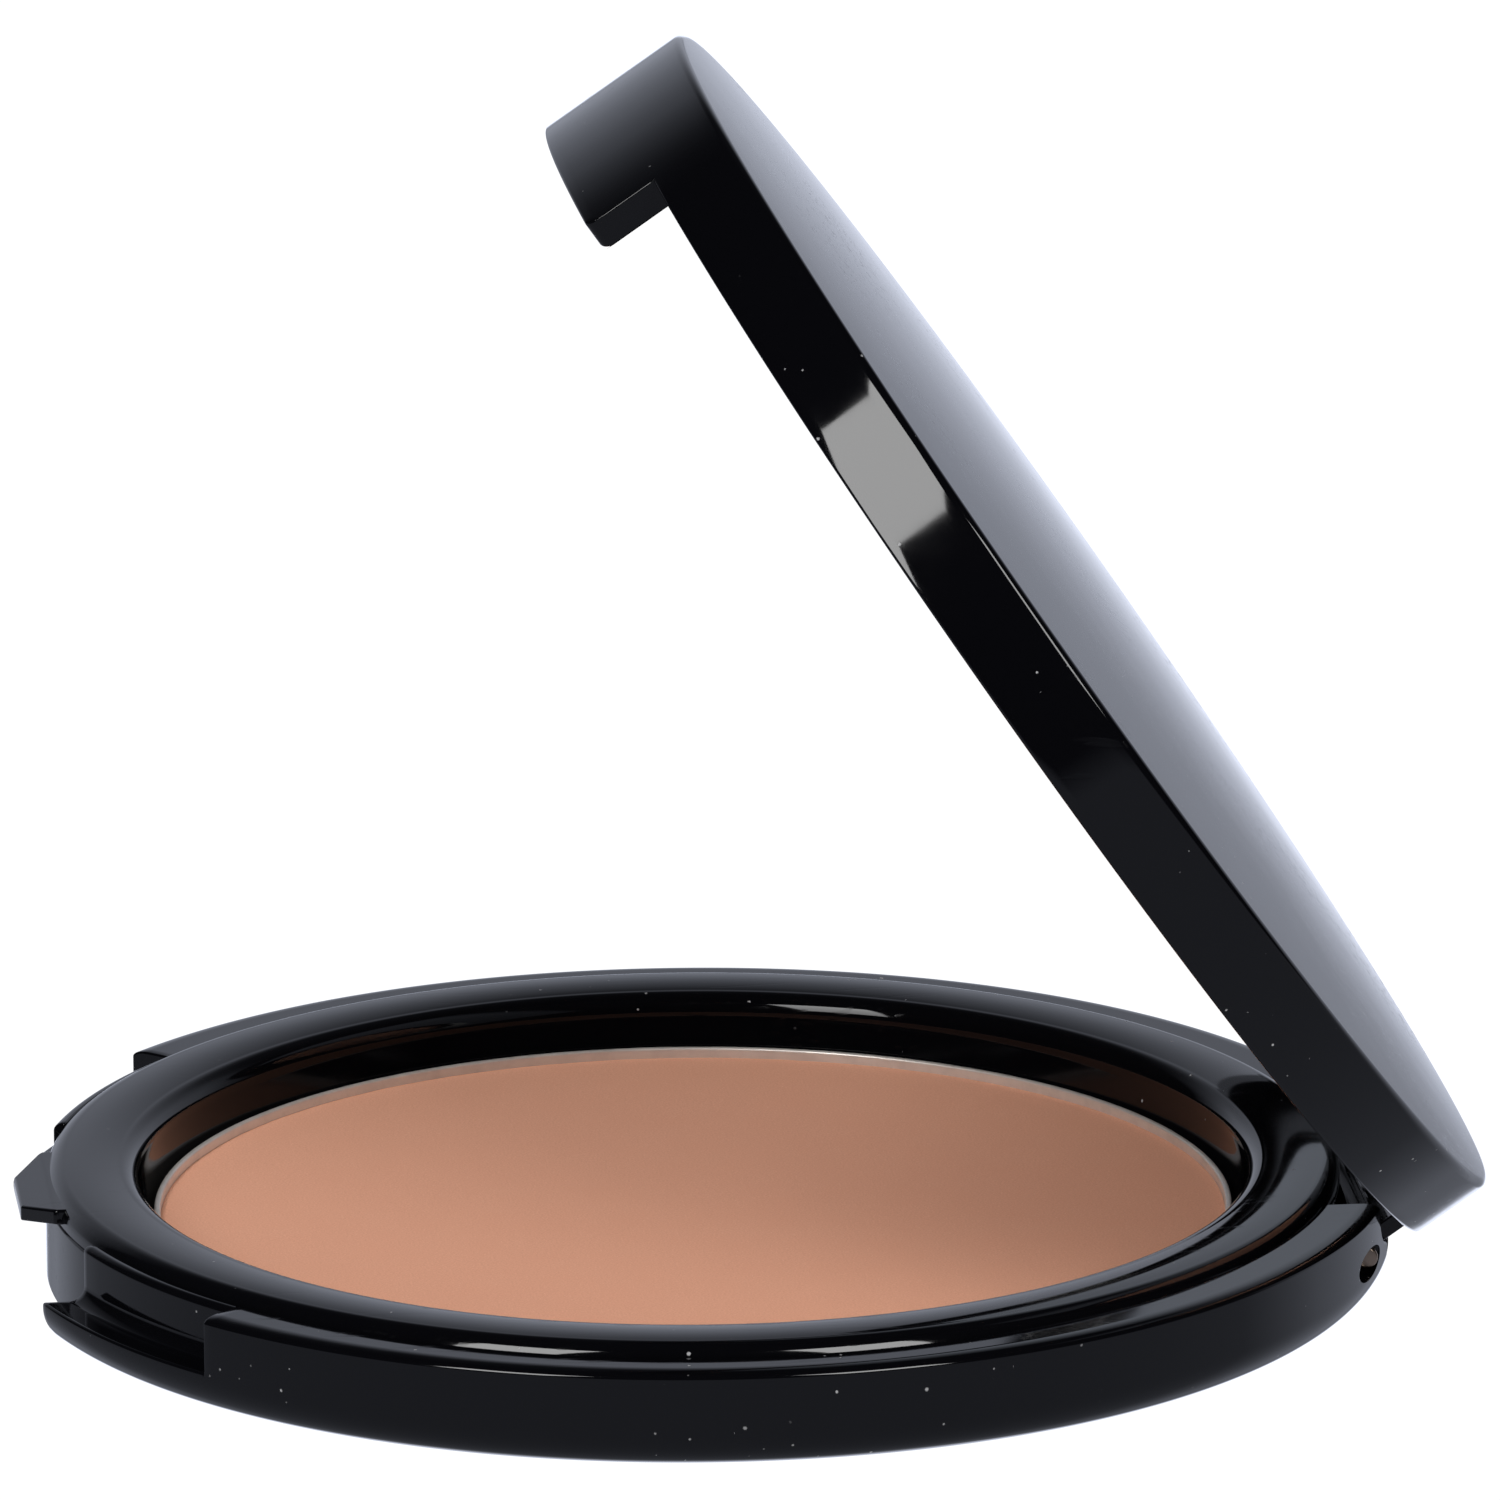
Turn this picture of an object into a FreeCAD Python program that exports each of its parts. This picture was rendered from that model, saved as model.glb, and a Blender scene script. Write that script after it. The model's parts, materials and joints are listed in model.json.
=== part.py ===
import FreeCAD, Part
import math
import os

# Powder compact: round snap-shut case with a pan of pressed powder in its base
# and a mirror in its lid. Millimetres, +Z up, the base's underside at z = 0.
# The hinge is at +Y, the catch is at -Y.

V = FreeCAD.Vector
os.makedirs("parts", exist_ok=True)

# ---- driving dimensions ------------------------------------------------------
case_r = 38.25            # outside radius of the case
rim_z = 5.55              # top of the base's rim
floor_t = 1.00            # thickness of the base's floor
foot_fillet = 2.10        # rounding under the base
rim_fillet = 0.40

shelf_z = 4.70            # shelf that the bezel's flange rests on
shelf_r = 35.45           # side of the shelf's pocket
cavity_r = 34.20          # inside of the base's wall

grip_half_angle = 41.0    # finger recess around the catch
grip_r = 36.10
ledge_z = 2.42            # top of the ledge under the finger recess
grip_fillet = 0.85        # hollow rounding between the recess and its ledge
notch_half = 11.35        # notch that the lid's tab closes into
tab_half = 11.05
tab_z = 1.44              # lower edge of the tab, lid closed
tab_corner = 0.60

bezel_r = 35.40
bezel_z = 6.05
bezel_crown = 0.12        # rise of the bezel's rounded top
bezel_fillet = 0.90
lip_fillet = 0.40
lip_r = 30.66             # mouth of the well
well_foot_r = 29.95       # the well's wall tapers to this radius at its foot
well_hollow = 0.07        # how far the middle of that wall lies outside a straight taper
well_wall_t = 1.00
hook_tip_y = -37.07
hook_t = 0.85             # thickness of the hook at its tip
hook_tip_half = 2.70
hook_root_half = 5.50

pan_r = 29.50
pan_z = 3.34
pan_t = 0.35
glue_r = 25.00
glue_t = 0.12
powder_z = 2.78

hinge_y = 35.50
hinge_z = 2.79
open_angle = 55.45        # the lid as it stands at rest, from closed
pin_r = 0.60
pin_run = 0.05            # running clearance of the pin in the lid's barrel
pin_in = 5.60
pin_out = 13.10
mouth_r = 0.85            # wider mouth of the pin's hole
mouth_in = 11.60
barrel_r = 1.20
barrel_half = 9.00
gap_half = 9.25           # opening in the base for the barrel
gap_z = 1.25
shoulder_r = 3.00

lid_z = 5.78              # lid's lower edge, lid closed
lid_top = 10.43
lid_crown = 0.35
lid_fillet = 0.45
lid_wall = 1.60
plate_under = 9.35        # underside of the lid's plate

mirror_r = 33.70
mirror_t = 1.20
pad_r = 30.00
pad_t = 0.15
frame_r = 36.55
frame_window = 32.40
frame_z = 7.40
frame_lip = 0.55


# ---- helpers -----------------------------------------------------------------
def cylinder(radius, z0, z1, x=0.0, y=0.0):
    return Part.makeCylinder(radius, z1 - z0, V(x, y, z0))


def ring(inner, outer, z0, z1):
    return cylinder(outer, z0, z1).cut(cylinder(inner, z0 - 1, z1 + 1))


def box(x0, x1, y0, y1, z0, z1):
    return Part.makeBox(x1 - x0, y1 - y0, z1 - z0, V(x0, y0, z0))


def line(a, b):
    return Part.makeLine(V(a[0], 0, a[1]), V(b[0], 0, b[1]))


def arc(a, mid, b):
    return Part.Arc(V(a[0], 0, a[1]), V(mid[0], 0, mid[1]), V(b[0], 0, b[1])).toShape()


def fillet_arc(centre, radius, a0, a1):
    """Arc in the radius-height plane, angles in degrees."""
    pts = []
    for angle in (a0, (a0 + a1) / 2, a1):
        turn = math.radians(angle)
        pts.append((centre[0] + radius * math.cos(turn), centre[1] + radius * math.sin(turn)))
    return arc(*pts)


def turned(edges):
    """Solid of revolution about Z from a closed outline of edges."""
    face = Part.Face(Part.Wire(edges))
    return face.revolve(V(0, 0, 0), V(0, 0, 1), 360)


def wedge(half_angle, radius, z0, z1):
    """Pie slice around the front (-Y) direction."""
    solid = Part.makeCylinder(radius, z1 - z0, V(0, 0, z0), V(0, 0, 1), 2 * half_angle)
    solid.rotate(V(0, 0, 0), V(0, 0, 1), -90 - half_angle)
    return solid


def opened(shape):
    """Turn a lid piece from closed to the angle it stands at."""
    turned_shape = shape.copy()
    turned_shape.rotate(V(0, hinge_y, hinge_z), V(-1, 0, 0), open_angle)
    return turned_shape


def save(shape, node):
    solid = shape.removeSplitter()
    if len(solid.Solids) == 1:
        solid = solid.Solids[0]
    solid.exportStep("parts/" + node + ".step")


# ---- base --------------------------------------------------------------------
def make_base_shell():
    f = foot_fillet
    e = rim_fillet
    edges = [
        line((0, 0), (case_r - f, 0)),
        fillet_arc((case_r - f, f), f, -90, 0),
        line((case_r, f), (case_r, rim_z - e)),
        fillet_arc((case_r - e, rim_z - e), e, 0, 90),
        line((case_r - e, rim_z), (shelf_r, rim_z)),
        line((shelf_r, rim_z), (shelf_r, shelf_z)),
        line((shelf_r, shelf_z), (cavity_r, shelf_z)),
        line((cavity_r, shelf_z), (cavity_r, floor_t)),
        line((cavity_r, floor_t), (0, floor_t)),
        line((0, floor_t), (0, 0)),
    ]
    shell = turned(edges)

    # finger recess above the ledge, and the tab's notch through it
    g = grip_fillet
    core = turned([
        line((0, 0), (grip_r + g, 0)),
        line((grip_r + g, 0), (grip_r + g, ledge_z)),
        fillet_arc((grip_r + g, ledge_z + g), g, 270, 180),
        line((grip_r, ledge_z + g), (grip_r, rim_z + 2)),
        line((grip_r, rim_z + 2), (0, rim_z + 2)),
        line((0, rim_z + 2), (0, 0)),
    ])
    grip = wedge(grip_half_angle, case_r + 2, ledge_z, rim_z + 1)
    shell = shell.cut(grip.cut(core))
    notch = box(-notch_half, notch_half, -case_r - 1, -30, -1, rim_z + 1)
    shell = shell.cut(notch.cut(cylinder(shelf_r, -2, rim_z + 2)))

    # opening at the back for the lid's barrel, with rounded shoulders above it
    y0 = cavity_r - 0.3
    y1 = case_r + 1
    shell = shell.cut(box(-gap_half, gap_half, y0 - 1.5, y1, gap_z, rim_z + 1))
    for side in (-1, 1):
        shoulder = Part.makeCylinder(shoulder_r, y1 - y0, V(side * barrel_half, y0, 5.74), V(0, 1, 0))
        shell = shell.cut(shoulder)

    # pin holes with a wider mouth in the outer wall
    for side in (-1, 1):
        along = V(side, 0, 0)
        hole = Part.makeCylinder(pin_r, 8, V(side * (gap_half - 1), hinge_y, hinge_z), along)
        mouth = Part.makeCylinder(mouth_r, 6, V(side * mouth_in, hinge_y, hinge_z), along)
        shell = shell.cut(hole).cut(mouth)
    return shell


def make_bezel():
    """Raised ring around the powder, with the well's wall and the catch hook."""
    e = bezel_fillet
    lip = lip_fillet
    mid = (bezel_r + lip_r) / 2
    wall_top = bezel_z - lip
    wall_mid = ((lip_r + well_foot_r) / 2 + well_hollow, (wall_top + floor_t) / 2)
    under = shelf_z
    edges = [
        line((well_foot_r, floor_t), (well_foot_r + well_wall_t, floor_t)),
        line((well_foot_r + well_wall_t, floor_t), (lip_r + well_wall_t, under)),
        line((lip_r + well_wall_t, under), (bezel_r, under)),
        line((bezel_r, under), (bezel_r, bezel_z - e)),
        fillet_arc((bezel_r - e, bezel_z - e), e, 0, 90),
        arc((bezel_r - e, bezel_z), (mid, bezel_z + bezel_crown), (lip_r + lip, bezel_z)),
        fillet_arc((lip_r + lip, wall_top), lip, 90, 180),
        arc((lip_r, wall_top), wall_mid, (well_foot_r, floor_t)),
    ]
    bezel = turned(edges)

    # hook: a tongue that slopes down and narrows towards its tip
    root_y = -bezel_r + 1.0
    root_top = 5.77
    tip_top = 5.21
    top = [(root_y, root_top), (-bezel_r, root_top), (hook_tip_y, tip_top)]
    low = [(hook_tip_y, tip_top - hook_t), (-bezel_r, root_top - hook_t), (root_y, under + 0.2)]
    side = Part.makePolygon([V(-8, y, z) for y, z in top + low + top[:1]])
    hook = Part.Face(side).extrude(V(16, 0, 0))
    plan = [(-hook_root_half, root_y), (-hook_root_half, -bezel_r), (-hook_tip_half, hook_tip_y),
            (hook_tip_half, hook_tip_y), (hook_root_half, -bezel_r), (hook_root_half, root_y)]
    outline = Part.makePolygon([V(x, y, 3) for x, y in plan + plan[:1]])
    hook = hook.common(Part.Face(outline).extrude(V(0, 0, 5)))
    return bezel.fuse(hook)


def make_pan():
    """Shallow pressed metal dish with a plain upright edge."""
    z0 = floor_t + glue_t
    c = 0.8
    inner = pan_r - pan_t
    edges = [
        line((0, z0), (pan_r - c, z0)),
        fillet_arc((pan_r - c, z0 + c), c, -90, 0),
        line((pan_r, z0 + c), (pan_r, pan_z)),
        line((pan_r, pan_z), (inner, pan_z)),
        line((inner, pan_z), (inner, z0 + c)),
        fillet_arc((pan_r - c, z0 + c), c - pan_t, 0, -90),
        line((pan_r - c, z0 + pan_t), (0, z0 + pan_t)),
        line((0, z0 + pan_t), (0, z0)),
    ]
    return turned(edges)


def make_powder_cake():
    z0 = floor_t + glue_t + pan_t
    c = 0.45
    r = pan_r - pan_t
    edges = [
        line((0, z0), (r - c, z0)),
        fillet_arc((r - c, z0 + c), c, -90, 0),
        line((r, z0 + c), (r, powder_z - 0.1)),
        line((r, powder_z - 0.1), (r - 0.15, powder_z)),
        line((r - 0.15, powder_z), (0, powder_z)),
        line((0, powder_z), (0, z0)),
    ]
    return turned(edges)


def make_pan_glue():
    return cylinder(glue_r, floor_t, floor_t + glue_t)


def make_hinge_pin(side):
    """Short steel pin, pressed in the base and free to turn in the lid's barrel."""
    pin = Part.makeCylinder(pin_r, pin_out - pin_in, V(side * pin_in, hinge_y, hinge_z), V(side, 0, 0))
    ends = [edge for edge in pin.Edges if edge.Curve.TypeId == "Part::GeomCircle"]
    return pin.makeChamfer(0.15, ends)


# ---- lid, drawn closed -------------------------------------------------------
def make_tab():
    """Tab at the front: the lid's wall carried on downward, with rounded corners."""
    wall = ring(case_r - lid_wall, case_r, tab_z, lid_z + 1)
    c = tab_corner
    mask = box(-tab_half, tab_half, -case_r - 1, -30, tab_z + c, lid_z + 1)
    mask = mask.fuse(box(-tab_half + c, tab_half - c, -case_r - 1, -30, tab_z, lid_z + 1))
    for side in (-1, 1):
        start = V(side * (tab_half - c), -case_r - 1, tab_z + c)
        mask = mask.fuse(Part.makeCylinder(c, case_r - 29, start, V(0, 1, 0)))
    return wall.common(mask)


def make_barrel():
    """Hinge barrel under the lid's back edge, with a neck up to the lid."""
    barrel = Part.makeCylinder(barrel_r, 2 * barrel_half, V(-barrel_half, hinge_y, hinge_z), V(1, 0, 0))
    neck = box(-barrel_half, barrel_half, hinge_y - 0.4, hinge_y + 1.1, hinge_z, frame_z - 0.1)
    neck = neck.cut(cylinder(bezel_r + 0.25, 0, 12))
    root = box(-barrel_half, barrel_half, hinge_y - 0.4, hinge_y + 2.5, lid_z, frame_z - 0.1)
    root = root.cut(cylinder(bezel_r + 0.25, 0, 12)).common(cylinder(case_r - 0.5, 0, 12))
    body = barrel.fuse(neck).fuse(root)
    for side in (-1, 1):
        start = V(side * (pin_in - 0.2), hinge_y, hinge_z)
        body = body.cut(Part.makeCylinder(pin_r + pin_run, 6, start, V(side, 0, 0)))
    return body


def make_lid_shell():
    e = lid_fillet
    inner = case_r - lid_wall
    # the crown is part of a sphere centred on the lid's axis
    flat = case_r - e
    ball = (flat ** 2 + lid_crown ** 2) / (2 * lid_crown)
    crown_mid = (flat / 2, lid_top + lid_crown - ball + math.sqrt(ball ** 2 - flat ** 2 / 4))
    edges = [
        line((0, plate_under), (inner, plate_under)),
        line((inner, plate_under), (inner, lid_z)),
        line((inner, lid_z), (case_r - 0.15, lid_z)),
        line((case_r - 0.15, lid_z), (case_r, lid_z + 0.15)),
        line((case_r, lid_z + 0.15), (case_r, lid_top - e)),
        fillet_arc((case_r - e, lid_top - e), e, 0, 90),
        arc((case_r - e, lid_top), crown_mid, (0, lid_top + lid_crown)),
        line((0, lid_top + lid_crown), (0, plate_under)),
    ]
    shell = turned(edges)
    shell = shell.fuse(make_tab()).fuse(make_barrel())
    # pocket behind the tab that the hook closes into
    pocket = box(-6.2, 6.2, -37.3, -30, tab_z - 1, lid_z + 0.35)
    pocket = pocket.cut(cylinder(34.0, -1, 12))
    return shell.cut(pocket)


def make_mirror_frame():
    """Ring that holds the mirror's edge against the lid's plate."""
    body = ring(mirror_r + 0.1, frame_r, frame_z, plate_under)
    lip = ring(frame_window, frame_r, frame_z, frame_z + frame_lip)
    return body.fuse(lip)


def make_mirror():
    top = plate_under - pad_t
    glass = cylinder(mirror_r, top - mirror_t, top)
    ends = [edge for edge in glass.Edges if edge.Curve.TypeId == "Part::GeomCircle"]
    return glass.makeChamfer(0.15, ends)


def make_mirror_pad():
    return cylinder(pad_r, plate_under - pad_t, plate_under)


# ---- files -------------------------------------------------------------------
save(make_base_shell(), "base_shell")
save(make_bezel(), "bezel_ring")
save(make_pan_glue(), "pan_adhesive")
save(make_pan(), "powder_pan")
save(make_powder_cake(), "powder_cake")
save(make_hinge_pin(1), "hinge_pin_right")
save(make_hinge_pin(-1), "hinge_pin_left")
save(opened(make_lid_shell()), "lid_shell")
save(opened(make_mirror_frame()), "mirror_frame")
save(opened(make_mirror()), "mirror")
save(opened(make_mirror_pad()), "mirror_adhesive")
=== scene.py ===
"""Powder compact standing open on a plain pale floor: gloss black case, pressed powder, lid with a mirror."""
import json
import math

import bmesh
import bpy
import numpy as np
from mathutils import Matrix, Vector


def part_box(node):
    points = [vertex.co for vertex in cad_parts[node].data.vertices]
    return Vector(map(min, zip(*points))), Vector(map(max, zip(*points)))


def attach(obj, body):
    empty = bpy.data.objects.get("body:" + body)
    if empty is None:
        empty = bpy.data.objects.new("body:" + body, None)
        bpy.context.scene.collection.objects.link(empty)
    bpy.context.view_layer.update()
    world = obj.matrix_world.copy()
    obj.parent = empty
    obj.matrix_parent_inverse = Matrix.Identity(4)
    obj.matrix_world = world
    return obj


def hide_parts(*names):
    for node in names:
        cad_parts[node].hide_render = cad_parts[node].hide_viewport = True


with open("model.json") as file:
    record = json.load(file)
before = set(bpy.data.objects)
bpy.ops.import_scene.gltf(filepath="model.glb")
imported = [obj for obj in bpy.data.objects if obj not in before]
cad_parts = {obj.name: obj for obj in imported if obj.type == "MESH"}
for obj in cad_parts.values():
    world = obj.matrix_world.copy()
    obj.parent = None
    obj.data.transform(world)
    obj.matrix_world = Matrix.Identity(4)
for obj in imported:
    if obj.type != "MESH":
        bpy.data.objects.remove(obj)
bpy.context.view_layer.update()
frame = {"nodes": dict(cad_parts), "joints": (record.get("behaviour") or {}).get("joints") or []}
scene = bpy.context.scene

MM = 0.001


def span_mm(node, axis):
    """Lowest and highest place of a CAD node along an axis, in millimetres."""
    lo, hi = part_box(node)
    return getattr(lo, axis) / MM, getattr(hi, axis) / MM


hinge = next(j for j in frame["joints"] if j["name"] == "lid_hinge")
hinge_y, hinge_z = hinge["pos_m"][1] / MM, hinge["pos_m"][2] / MM
open_angle = -hinge["range_deg"][0]          # how far the lid stands from closed at rest

# ---- sizes of the case, mm, the lid drawn closed --------------------------------
case_r = span_mm("base_shell", "x")[1]
rim_z = span_mm("base_shell", "z")[1]
floor_z = span_mm("bezel_ring", "z")[0]      # top of the base's floor
bezel_r = span_mm("bezel_ring", "x")[1]
pin_in, pin_out = span_mm("hinge_pin_right", "x")
foot_r = 2.10                                # rounding under the base
shelf_r, shelf_z = 35.45, 4.70               # pocket that the bezel ring sits in
cavity_r = 34.20                             # inside of the base's wall
grip_r, ledge_z, grip_half = 36.10, 2.42, 41.0       # finger recess, the ledge under it, half its angle
notch_x, tab_x, opening_x = 11.35, 11.05, 9.25       # half widths: notch, tab, gap for the barrel
gap_r, gap_z = 38.06, 1.25                   # floor plate under the barrel
shoulder_r, shoulder_x, shoulder_z = 3.00, 9.00, 5.74    # dip of the rim beside the barrel
dip_x = 12.0                                 # the dip's sections lie in planes x = const from here in
lid_z, lid_top, lid_crown = 5.78, 10.43, 0.35
lid_in = case_r - 1.60                       # inside of the lid's wall
plate_z = 9.35                               # underside of the lid's plate
tab_z, tab_corner = 1.44, 0.60
bezel_crown = 0.09
lip_z, shoulder_rise = 6.05, 0.11            # top of the well's lip; the bezel climbs this much outward
lip_r, well_r = 30.30, 29.56                 # mouth and foot of the well
pin_r, pin_run = 0.60, 0.05                  # the pin, and its clearance in the barrel
mouth_r, mouth_in = 0.85, 11.60              # wider mouth of the pin's hole
barrel_r, barrel_half = 1.20, 9.00
PLANE_R = 33.0               # outside this radius a section near a notch stays on a plane x = const
FADE = math.radians(9.0)     # beyond the notch, sections turn from such a plane to radial over this angle
SHARP = 32.0                 # edges that bend more than this many degrees stay hard


# ---- mesh helpers ---------------------------------------------------------------
def arc(cx, cz, radius, a0, a1, n):
    """n points of an arc in the radius-height plane, angles in degrees."""
    turns = np.radians(np.linspace(a0, a1, n))
    return [(cx + radius * math.cos(t), cz + radius * math.sin(t)) for t in turns]


def run(a, b, n):
    """n points from a to b, both included."""
    return [(a[0] + (b[0] - a[0]) * k / (n - 1), a[1] + (b[1] - a[1]) * k / (n - 1)) for k in range(n)]


def smooth(t):
    """Eases from 0 to 1 as t does."""
    t = min(1.0, max(0.0, t))
    return t * t * (3 - 2 * t)


def turn_of(row_r, u, weight):
    """Angle of a row's point in the section at angle u; with weight 1 the section lies on x = const."""
    x = case_r * math.sin(u)
    return u + weight * (math.asin(max(-1.0, min(1.0, x / max(row_r, PLANE_R)))) - u)


def place(profile, u, weight, back=False):
    """3-D points of a (radius, height) profile at angle u from the front, or from the back."""
    pts = []
    for r, z in profile:
        t = turn_of(r, u, weight)
        y = r * math.cos(t)
        pts.append((r * math.sin(t), y if back else -y, z))
    return pts


def mark_edges(bm, sharp):
    """Smooth faces, with the edges that bend more than sharp degrees kept hard."""
    limit = math.radians(sharp)
    for face in bm.faces:
        face.smooth = True
    for edge in bm.edges:
        edge.smooth = len(edge.link_faces) == 2 and edge.calc_face_angle(0.0) < limit


def finish_mesh(bm, name, sharp=SHARP, mirrored=False):
    """Turns a bmesh in millimetres into a smooth-shaded object in metres, with hard edges kept."""
    if mirrored:
        copy = bmesh.ops.duplicate(bm, geom=bm.verts[:] + bm.edges[:] + bm.faces[:])["geom"]
        bmesh.ops.scale(bm, vec=(-1, 1, 1), verts=[g for g in copy if isinstance(g, bmesh.types.BMVert)])
        bmesh.ops.reverse_faces(bm, faces=[g for g in copy if isinstance(g, bmesh.types.BMFace)])
        bmesh.ops.remove_doubles(bm, verts=bm.verts[:], dist=1e-4)
    bmesh.ops.dissolve_degenerate(bm, edges=bm.edges[:], dist=1e-5)
    bmesh.ops.recalc_face_normals(bm, faces=bm.faces[:])
    bmesh.ops.scale(bm, vec=(MM, MM, MM), verts=bm.verts[:])
    mark_edges(bm, sharp)
    mesh = bpy.data.meshes.new(name)
    bm.to_mesh(mesh)
    bm.free()
    obj = bpy.data.objects.new(name, mesh)
    scene.collection.objects.link(obj)
    return obj


def loft(sections, jumps, bevel):
    """bmesh through the sections. After each index in jumps the flat step is one face with rounded edges."""
    bm = bmesh.new()
    grid = [[bm.verts.new(p) for p in section] for section in sections]
    rows = len(sections[0])
    for s in range(len(grid) - 1):
        if s in jumps:
            continue
        for k in range(rows - 1):
            bm.faces.new((grid[s][k], grid[s][k + 1], grid[s + 1][k + 1], grid[s + 1][k]))
    bmesh.ops.remove_doubles(bm, verts=bm.verts[:], dist=1e-4)
    bmesh.ops.dissolve_degenerate(bm, edges=bm.edges[:], dist=1e-5)
    # the outlines of the flat steps; the open edges on the plane x = 0 are left for the mirrored half
    rim = [e for e in bm.edges if e.is_boundary and min(abs(v.co.x) for v in e.verts) > 1e-3]
    steps = bmesh.ops.holes_fill(bm, edges=rim, sides=0)["faces"]
    bmesh.ops.recalc_face_normals(bm, faces=bm.faces[:])
    edges = {e for f in steps for e in f.edges if e.is_convex and e.calc_face_angle(0.0) > 0.6}
    bmesh.ops.bevel(bm, geom=list(edges), offset=bevel, segments=3, profile=0.5, affect="EDGES",
                    clamp_overlap=False, offset_type="OFFSET")
    return bm


def revolve(profile, name, steps=360):
    """Closed profile turned about Z. Points on the axis become one vertex."""
    bm = bmesh.new()
    grid = []
    for s in range(steps):
        t = 2 * math.pi * s / steps
        grid.append([bm.verts.new((r * math.cos(t), r * math.sin(t), z)) for r, z in profile])
    n = len(profile)
    for s in range(steps):
        for k in range(n):
            m = (k + 1) % n
            if profile[k][0] < 1e-6 and profile[m][0] < 1e-6:
                continue
            a, b = grid[s], grid[(s + 1) % steps]
            bm.faces.new((a[k], b[k], b[m], a[m]))
    bmesh.ops.remove_doubles(bm, verts=bm.verts[:], dist=1e-4)
    bmesh.ops.dissolve_degenerate(bm, edges=bm.edges[:], dist=1e-5)
    return finish_mesh(bm, name)


def block(points, depth_axis, lo, hi, bevel=0.0):
    """bmesh prism of a polygon given in the plane across depth_axis, x or z, its edges rounded by bevel."""
    bm = bmesh.new()
    rings = []
    for d in (lo, hi):
        ring = []
        for a, b in points:
            ring.append(bm.verts.new((d, a, b) if depth_axis == "x" else (a, b, d)))
        rings.append(ring)
    bm.faces.new(rings[0])
    bm.faces.new(rings[1][::-1])
    for k in range(len(points)):
        m = (k + 1) % len(points)
        bm.faces.new((rings[0][k], rings[1][k], rings[1][m], rings[0][m]))
    bmesh.ops.recalc_face_normals(bm, faces=bm.faces[:])
    if bevel:
        bmesh.ops.bevel(bm, geom=bm.edges[:], offset=bevel, segments=2, profile=0.5, affect="EDGES")
    return bm


def rod(name, radius, x0, x1, rounding=0.0):
    """Cylinder on the hinge's axis, in mm. Its ends are rounded where x1 > x0, and dished otherwise."""
    if rounding:
        profile = [(0.0, x0)] + arc(radius - rounding, x0 + rounding, rounding, -90, 0, 6)
        profile += arc(radius - rounding, x1 - rounding, rounding, 0, 90, 6) + [(0.0, x1)]
    else:
        profile = [(0.0, x0), (radius, x0), (radius, x1), (0.0, x1)]
    obj = revolve(profile, name, 96)
    obj.data.transform(Matrix.Rotation(math.radians(90), 4, "Y"))
    obj.data.transform(Matrix.Translation((0, hinge_y * MM, hinge_z * MM)))
    return obj


def join_solid(target, tool, operation):
    """Boolean of two objects, applied; the tool is removed."""
    mod = target.modifiers.new("cut", "BOOLEAN")
    mod.operation, mod.solver, mod.object = operation, "EXACT", tool
    bpy.context.view_layer.update()
    evaluated = target.evaluated_get(bpy.context.evaluated_depsgraph_get())
    mesh = bpy.data.meshes.new_from_object(evaluated)
    target.modifiers.remove(mod)
    old = target.data
    target.data = mesh
    bpy.data.meshes.remove(old)
    bpy.data.objects.remove(tool)


def even_shading(obj):
    """Marks hard edges again after a cut and lets large faces rule the normals."""
    bm = bmesh.new()
    bm.from_mesh(obj.data)
    mark_edges(bm, SHARP)
    bm.to_mesh(obj.data)
    bm.free()
    mod = obj.modifiers.new("even_normals", "WEIGHTED_NORMAL")
    mod.mode, mod.weight, mod.keep_sharp = "FACE_AREA", 80, True


# ---- base shell -----------------------------------------------------------------
EDGE = 0.15                  # rounding of the base's small edges
RIM, RIM_WIDE = 0.40, 1.00   # rounding of the rim: its height, and its width away from the recess
HOLLOW = 0.85                # hollow rounding between the finger recess and its ledge


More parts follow.
